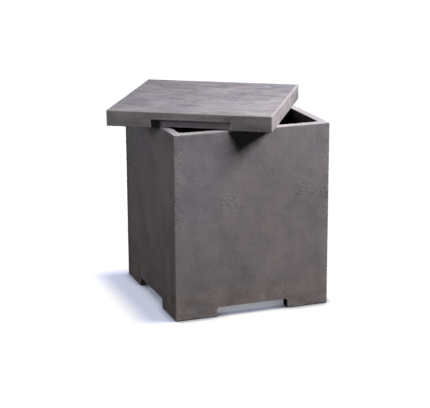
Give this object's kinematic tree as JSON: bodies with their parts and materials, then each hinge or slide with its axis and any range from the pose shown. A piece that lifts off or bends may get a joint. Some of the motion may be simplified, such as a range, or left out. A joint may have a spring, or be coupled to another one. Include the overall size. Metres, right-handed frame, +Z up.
{
  "type": "propane tank cover table",
  "caption": "Square cast concrete side table that hides a gas cylinder: a hollow cover with notched feet and a thick loose lid lying askew on its rim.",
  "frame": {"origin": "on the floor, at the centre of the cover's square footprint", "axes": "+Z up through the cover and the lid's top, +X to the right along the front wall, +Y towards the back wall"},
  "size_m": [0.627, 0.627, 0.5765],
  "materials": {
    "cover_concrete": "cast concrete, warm grey with brownish mottling, fine ripples and pinholes",
    "lid_concrete": "cast concrete, pale lavender grey, trowelled top with soft streaks",
    "pad_rubber": "plain black rubber"
  },
  "bodies": {
    "cover": {"cover_casting": "cover_concrete", "foot_pad_front_left": "pad_rubber", "foot_pad_front_right": "pad_rubber", "foot_pad_back_right": "pad_rubber", "foot_pad_back_left": "pad_rubber"},
    "lid": {"lid_casting": "lid_concrete", "lid_pad_front_left": "pad_rubber", "lid_pad_front_right": "pad_rubber", "lid_pad_back_right": "pad_rubber", "lid_pad_back_left": "pad_rubber"}
  },
  "joints": [
    {"name": "lid_lift", "type": "slide", "parent": "cover", "child": "lid", "axis": [0, 0, 1], "range_m": [0, 0.4]}
  ]
}
